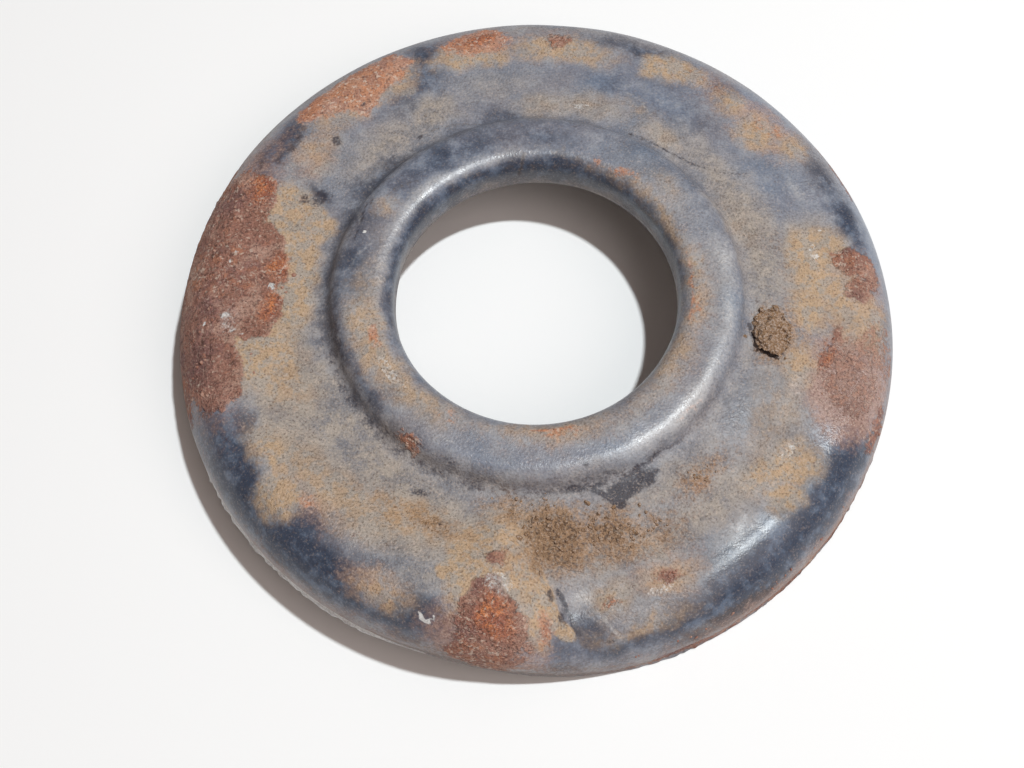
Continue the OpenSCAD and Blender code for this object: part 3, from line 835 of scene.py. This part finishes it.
class SPRINGMOUNT_OT_press_plate(bpy.types.Operator):
    """Turns the sheet section into the plate, raises its climb and ages its surface."""

    bl_idname = "springmount.press_plate"
    bl_label = "Press Plate"
    bl_options = {"REGISTER", "UNDO"}

    def execute(self, context):
        sizes = context.scene.spring_mount_sizes
        plate = self.turn_section(sizes)
        self.raise_climb(plate, sizes)
        self.lay_fields(plate)
        self.flare_edge(plate)
        self.roughen(plate)
        only(plate)
        bpy.ops.object.shade_smooth()
        plate.data.materials.append(paint_and_rust(context.scene.spring_mount_colours))
        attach(plate, "root")
        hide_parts("spring_plate")
        return {"FINISHED"}

    @staticmethod
    def turn_section(sizes):
        """Draws the outline of the sheet as a chain of edges and turns it about the axis."""
        upper = section_points(sizes)
        outline = [(*p, 0.0) for p in upper]
        outline += [(*p, 1.0) for p in under_points(upper, sizes.sheet)]
        first = outline[0]
        bpy.ops.mesh.primitive_plane_add(size=sizes.sheet, location=(first[0], 0.0, first[1]))
        plate = bpy.context.object
        plate.name = plate.data.name = "pressed_plate"
        bpy.ops.object.mode_set(mode="EDIT")
        bpy.ops.mesh.select_all(action="SELECT")
        bpy.ops.mesh.merge(type="CENTER")
        for here, there in zip(outline, outline[1:]):
            move = (there[0] - here[0], 0.0, there[1] - here[1])
            bpy.ops.mesh.extrude_region_move(TRANSFORM_OT_translate={"value": move})
        bpy.ops.object.mode_set(mode="OBJECT")
        only(plate)
        bpy.ops.object.transform_apply(location=True, rotation=True, scale=True)

        mesh = plate.data
        drawn = read_points(mesh)
        wanted = np.array([(p[0], p[1]) for p in outline])
        gaps = np.hypot(drawn[:, None, 0] - wanted[None, :, 0], drawn[:, None, 2] - wanted[None, :, 1])
        match = gaps.argmin(axis=1)
        for column, name in ((3, "run"), (4, "share"), (5, "blend"), (6, "under")):
            write_layer(mesh, name, [outline[i][column] for i in match])
        ends = [int(np.flatnonzero(match == i)[0]) for i in (0, len(outline) - 1)]
        mesh.vertices.foreach_set("select", [i in ends for i in range(len(mesh.vertices))])
        mesh.edges.foreach_set("select", [False] * len(mesh.edges))
        bpy.ops.object.mode_set(mode="EDIT")
        bpy.ops.mesh.edge_face_add()
        bpy.ops.object.mode_set(mode="OBJECT")
        apply_modifier(
            plate, "SCREW", axis="Z", angle=math.tau, screw_offset=0.0, iterations=1,
            steps=sizes.steps, render_steps=sizes.steps, use_merge_vertices=True,
            merge_threshold=1e-6, use_smooth_shade=True,
        )
        bpy.ops.object.mode_set(mode="EDIT")
        bpy.ops.mesh.select_all(action="SELECT")
        bpy.ops.mesh.remove_doubles(threshold=1e-6)
        bpy.ops.mesh.normals_make_consistent(inside=False)
        bpy.ops.object.mode_set(mode="OBJECT")
        return plate

    @staticmethod
    def raise_climb(plate, sizes):
        """Lifts the seat and the rim by the climb at each angle."""
        mesh = plate.data
        places = read_points(mesh)
        angle = np.degrees(np.arctan2(places[:, 1], places[:, 0])) % 360.0
        blend = read_layer(mesh, "blend")
        sweep = STOP_SWEEP + blend * (RIM_SWEEP - STOP_SWEEP)
        lift = read_layer(mesh, "share") * climb_share(angle, sweep)
        group = weight_group(plate, "climb", lift)
        apply_modifier(
            plate, "DISPLACE", direction="Z", strength=sizes.rise, mid_level=0.0, vertex_group=group
        )
        plate.vertex_groups.clear()

    @staticmethod
    def lay_fields(plate):
        """Writes where each finish lies, as layers on the mesh, painted shade and painted highlights among them."""
        mesh = plate.data
        places = read_points(mesh)
        run = read_layer(mesh, "run") * 1000
        under = read_layer(mesh, "under") > 0.5
        angle = np.degrees(np.arctan2(places[:, 1], places[:, 0])) % 360.0
        radius = np.hypot(places[:, 0], places[:, 1]) * 1000
        coarse = wander(places, 0.007, 3.0)
        fine = wander(places, 0.0025, 7.0)
        drift = coarse + 0.85 * fine
        for name, (patches, softness, reach) in FINISH_FIELDS.items():
            near = angle + np.degrees(drift[:, 0] * reach / radius)
            far = run + drift[:, 1] * reach
            field = field_of(patches, softness, near, far)
            for finish, half_width, strength, points in STROKES:
                if finish == name:
                    gap = np.abs(along_stroke(points, near * 0.2 + angle * 0.8, far * 0.2 + run * 0.8))
                    mark = np.clip(0.5 + (half_width - gap) / 0.8, 0.0, 1.0)
                    field = np.maximum(field, strength * mark)
            # Painted shade: a dark band on the hub's wall and in its foot, round the left and near side.
            if name == "soot":
                wall = np.clip((far - 42.0) / 2.5, 0, 1) * np.clip((46.4 - run) / 0.5, 0, 1)
                turn = np.clip((58 - np.abs(angle - 244)) / 14, 0, 1)
                field = np.maximum(field, 0.42 * wall * turn)
            if name == "haze":
                field = np.where(under, 0.75, field)
            elif name == "rust":
                field = np.where(under, np.clip(field * 0.6 + (run > 74) * 0.5, 0, 1), field)
            elif name != "navy":
                field = np.where(under, field * 0.3, field)
            write_layer(mesh, name, field)
        lowest = np.clip((run - 85.0) / 0.7, 0.0, 1.0) * (1 - under)
        worn = np.clip(1 - np.abs(angle - 220) / 34, 0, 1) ** 0.3
        write_layer(mesh, "edge", lowest * worn)

    @staticmethod
    def flare_edge(plate):
        """Turns a ragged burr outwards along the parts of the lower edge that show one."""
        mesh = plate.data
        places = read_points(mesh)
        angle = np.degrees(np.arctan2(places[:, 1], places[:, 0])) % 360.0
        ragged = 0.5 + 0.5 * wander(places * (1, 1, 0), 0.0013, 5.0)[:, 0] * 2.2
        lowest = np.clip((read_layer(mesh, "run") * 1000 - 86.3) / 0.9, 0.0, 1.0)
        lowest *= 1 - read_layer(mesh, "under")
        reach = np.zeros(len(angle))
        for centre, half_length, depth in BURRS:
            near = np.clip((half_length - np.abs(angle - centre)) / 8.0, 0.0, 1.0)
            reach = np.maximum(reach, depth * near)
        weights = lowest * reach * (0.35 + 0.65 * np.clip(ragged, 0.0, 1.0))
        group = weight_group(plate, "burr", weights)
        apply_modifier(
            plate, "CAST", cast_type="CYLINDER", factor=1.0, size=OUTER_RADIUS + 0.001, radius=0.0,
            use_radius_as_size=False, use_z=False, vertex_group=group,
        )
        plate.vertex_groups.clear()

    @staticmethod
    def roughen(plate):
        """Waves the sheet a little, pits the rust and raises the soil."""
        mesh = plate.data
        places = read_points(mesh)
        angle = np.degrees(np.arctan2(places[:, 1], places[:, 0])) % 360.0
        run = read_layer(mesh, "run") * 1000
        under = read_layer(mesh, "under")
        rust = np.maximum(read_layer(mesh, "rust"), 0.55 * read_layer(mesh, "orange"))
        soil = read_layer(mesh, "soil")
        top = 1 - under
        ridge = along_stroke(STOP_RIDGE, angle, run)
        ridge = np.where(ridge < 0, np.exp(-((ridge / 3.5) ** 2)), np.exp(-((ridge / 1.1) ** 2)))
        room = np.clip((OUTER_RADIUS - 0.0003 - np.hypot(places[:, 0], places[:, 1])) / 0.002, 0, 1)
        crust = np.clip(rust * 2.6 - 1.0, 0, 1)
        below_top = np.clip((PLATE_HIGH.z - read_points(mesh)[:, 2]) / 0.002, 0, 1)
        reliefs = (
            ("ridge", "BLEND", {"progression": "LINEAR"}, "Z", top * ridge * (run < 76), 0.0009, -0.5),
            ("waves", "CLOUDS", {"noise_scale": 0.022, "noise_depth": 1}, "NORMAL",
             0.3 + 0.7 * room, 0.0004, 1.0),
            ("crust", "CLOUDS", {"noise_scale": 0.005, "noise_depth": 2}, "Z",
             top * crust * below_top * (run < 78), 0.0008, 0.0),
            ("scale", "CLOUDS", {"noise_scale": 0.0026, "noise_depth": 3, "noise_type": "HARD_NOISE"},
             "NORMAL", crust * (0.25 + 0.75 * room), 0.0009, 0.6),
            ("pits", "VORONOI", {"noise_scale": 0.0022, "distance_metric": "DISTANCE"},
             "NORMAL", crust * (0.25 + 0.75 * room), 0.0004, 0.7),
            ("earth", "CLOUDS", {"noise_scale": 0.0022, "noise_depth": 3}, "Z",
             top * np.clip(soil * 1.5 - 0.45, 0, 1), 0.0014, 0.3),
            ("nicks", "CLOUDS", {"noise_scale": 0.0028, "noise_depth": 2}, "Z",
             np.clip((run - 85.6) / 1.4, 0, 1), 0.0008, 0.2),
        )
        for name, kind, settings, direction, weights, strength, middle in reliefs:
            group = weight_group(plate, name, weights)
            pattern = noise_pattern(name, kind, **settings)
            apply_modifier(
                plate, "DISPLACE", direction=direction, texture=pattern, texture_coords="LOCAL",
                strength=strength, mid_level=middle, vertex_group=group,
            )
        plate.vertex_groups.clear()


class SPRINGMOUNT_OT_drop_soil(bpy.types.Operator):
    """Sets the clump of dried soil and the loose crumbs on the plate."""

    bl_idname = "springmount.drop_soil"
    bl_label = "Drop Soil"
    bl_options = {"REGISTER", "UNDO"}

    def execute(self, context):
        plate = bpy.data.objects.get("pressed_plate")
        if plate is None:
            raise RuntimeError("The plate has to be pressed before soil is dropped on it")
        colours = context.scene.spring_mount_colours
        soil, rust = dried_soil(colours), rust_crumb(colours)
        self.finish(self.shape_clump(plate), soil)
        self.finish(self.scatter(plate, "soil_crumbs", SOIL_CRUMBS, 11), soil)
        self.finish(self.scatter(plate, "rust_crumbs", RUST_CRUMBS, 23), rust)
        return {"FINISHED"}

    @staticmethod
    def finish(piece, material):
        piece.data.materials.append(material)
        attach(piece, "root")

    @staticmethod
    def landing(plate, angle, radius):
        """Where something dropped at an angle and a radius in mm meets the plate."""
        turn = math.radians(angle)
        above = Vector((radius * MM * math.cos(turn), radius * MM * math.sin(turn), 0.1))
        found, place, normal, _ = plate.ray_cast(above, Vector((0.0, 0.0, -1.0)))
        if not found:
            raise RuntimeError("Nothing lies below the place that was chosen")
        return place, normal

    def shape_clump(self, plate):
        """A flat lump of earth, bedded in the seat."""
        place, normal = self.landing(plate, CLUMP_ANGLE, CLUMP_RADIUS)
        bpy.ops.mesh.primitive_ico_sphere_add(
            subdivisions=6, radius=1.0, location=place, scale=CLUMP_HALF_SIZE,
            rotation=(0.0, 0.0, math.radians(CLUMP_ANGLE + 12)),
        )
        clump = bpy.context.object
        clump.name = clump.data.name = "soil_clump"
        bpy.ops.object.transform_apply(location=True, rotation=True, scale=True)
        for scale, depth, strength in ((0.007, 1, 0.0036), (0.0028, 2, 0.0026), (0.0010, 2, 0.0013)):
            pattern = noise_pattern("clods", "CLOUDS", noise_scale=scale, noise_depth=depth)
            apply_modifier(
                clump, "DISPLACE", texture=pattern, texture_coords="LOCAL", strength=strength,
                mid_level=0.55,
            )
        bpy.ops.object.mode_set(mode="EDIT")
        bpy.ops.mesh.select_all(action="SELECT")
        bed = place - normal * 0.0006
        bpy.ops.mesh.bisect(plane_co=bed, plane_no=normal, use_fill=True, clear_inner=True)
        bpy.ops.mesh.select_all(action="SELECT")
        bpy.ops.mesh.normals_make_consistent(inside=False)
        bpy.ops.object.mode_set(mode="OBJECT")
        bpy.ops.object.shade_smooth()
        return clump

    def scatter(self, plate, name, drifts, seed):
        """Loose crumbs, more of them near the middle of each drift."""
        draw = random.Random(seed)
        crumbs = []
        for angle, radius, half_length, half_width, count, largest in drifts:
            for _ in range(count):
                here = angle + draw.gauss(0.0, 0.5) * half_length
                out = min(radius + draw.gauss(0.0, 0.5) * half_width, 77.0)
                size = largest * MM * (0.35 + 0.65 * draw.random() ** 2)
                place, normal = self.landing(plate, here, out)
                bpy.ops.mesh.primitive_ico_sphere_add(
                    subdivisions=1, radius=size, location=place,
                    scale=(1.0, 0.6 + 0.5 * draw.random(), 0.7),
                    rotation=[draw.uniform(0.0, math.tau) for _ in range(3)],
                )
                crumbs.append(bpy.context.object)
        for crumb in crumbs:
            crumb.select_set(True)
        bpy.context.view_layer.objects.active = crumbs[0]
        bpy.ops.object.join()
        heap = bpy.context.object
        heap.name = heap.data.name = name
        bpy.ops.object.transform_apply(location=True, rotation=True, scale=True)
        pattern = noise_pattern("crumbling", "CLOUDS", noise_scale=0.0006, noise_depth=1)
        apply_modifier(
            heap, "DISPLACE", texture=pattern, texture_coords="LOCAL", strength=0.0005, mid_level=0.5
        )
        return heap


class SPRINGMOUNT_OT_set_stage(bpy.types.Operator):
    """Lays the floor, hangs the lamp and sets the camera and the sky."""

    bl_idname = "springmount.set_stage"
    bl_label = "Set Stage"
    bl_options = {"REGISTER", "UNDO"}

    def execute(self, context):
        scene = context.scene
        bpy.ops.mesh.primitive_grid_add(x_subdivisions=4, y_subdivisions=4, size=6.0)
        floor = context.object
        floor.name = "pale_floor"
        floor.data.materials.append(floor_finish(scene.spring_mount_colours))
        key, fill = Vector((0.43, 0.036, 1.337)), Vector((1.35, -1.05, 1.95))
        self.hang_lamp(scene, "key_lamp", key, 0.07, 15.8, (0.92, 0.98, 1.0))
        self.hang_lamp(scene, "fill_lamp", fill, 2.0, 17.0, (1.0, 0.88, 0.83))
        self.light_sky(scene)
        self.place_camera(scene)
        scene.view_settings.view_transform = "Standard"
        return {"FINISHED"}

    @staticmethod
    def hang_lamp(scene, name, place, size, energy, colour):
        """A round lamp that points at the plate."""
        lamp = bpy.data.lights.new(name, "AREA")
        lamp.shape = "DISK"
        lamp.size = size
        lamp.energy = energy
        lamp.color = colour
        holder = bpy.data.objects.new(name, lamp)
        scene.collection.objects.link(holder)
        holder.location = place
        holder.rotation_euler = place.to_track_quat("Z", "Y").to_euler()

    @staticmethod
    def light_sky(scene):
        """A faint warm sky that the camera sees as plain white."""
        world = bpy.data.worlds.new("studio_sky")
        world.use_nodes = True
        nodes, links = world.node_tree.nodes, world.node_tree.links
        sky = nodes["Background"]
        sky.inputs["Color"].default_value = (1.0, 0.80, 0.71, 1.0)
        sky.inputs["Strength"].default_value = 0.155
        backdrop = nodes.new("ShaderNodeBackground")
        backdrop.inputs["Color"].default_value = (1.0, 1.0, 1.0, 1.0)
        choice, rays = nodes.new("ShaderNodeMixShader"), nodes.new("ShaderNodeLightPath")
        links.new(rays.outputs["Is Camera Ray"], choice.inputs["Fac"])
        links.new(sky.outputs["Background"], choice.inputs[1])
        links.new(backdrop.outputs["Background"], choice.inputs[2])
        links.new(choice.outputs["Shader"], nodes["World Output"].inputs["Surface"])
        scene.world = world

    @staticmethod
    def place_camera(scene):
        camera = bpy.data.cameras.new("camera")
        camera.sensor_width = 36.0
        camera.lens = 36.0 * 1300 / 1024
        holder = bpy.data.objects.new("camera", camera)
        scene.collection.objects.link(holder)
        eye = Vector((2.983, -130.148, 262.935)) * MM
        aim = Vector((-5.218, -17.387, 12.0)) * MM
        turn = (eye - aim).to_track_quat("Z", "Y").to_matrix().to_4x4()
        holder.matrix_world = Matrix.Translation(eye) @ turn @ Matrix.Rotation(-0.077, 4, "Z")
        scene.camera = holder


class SPRINGMOUNT_PT_panel(bpy.types.Panel):
    """Lists the steps that build the spring mount."""

    bl_idname = "SPRINGMOUNT_PT_panel"
    bl_label = "Spring Mount"
    bl_space_type = "VIEW_3D"
    bl_region_type = "UI"
    bl_category = "Spring Mount"

    def draw(self, context):
        layout = self.layout
        for operator in OPERATORS:
            layout.operator(operator.bl_idname)
        for group in (context.scene.spring_mount_sizes, context.scene.spring_mount_colours):
            box = layout.box()
            for name in group.__annotations__:
                box.prop(group, name)


OPERATORS = (
    SPRINGMOUNT_OT_press_plate,
    SPRINGMOUNT_OT_drop_soil,
    SPRINGMOUNT_OT_set_stage,
)
CLASSES = (SpringMountSizes, SpringMountColours, *OPERATORS, SPRINGMOUNT_PT_panel)


def register():
    for cls in CLASSES:
        bpy.utils.register_class(cls)
    bpy.types.Scene.spring_mount_sizes = bpy.props.PointerProperty(type=SpringMountSizes)
    bpy.types.Scene.spring_mount_colours = bpy.props.PointerProperty(type=SpringMountColours)


def unregister():
    del bpy.types.Scene.spring_mount_colours
    del bpy.types.Scene.spring_mount_sizes
    for cls in reversed(CLASSES):
        bpy.utils.unregister_class(cls)


def main():
    register()
    bpy.ops.springmount.press_plate()
    bpy.ops.springmount.drop_soil()
    bpy.ops.springmount.set_stage()


if __name__ == "__main__":
    main()
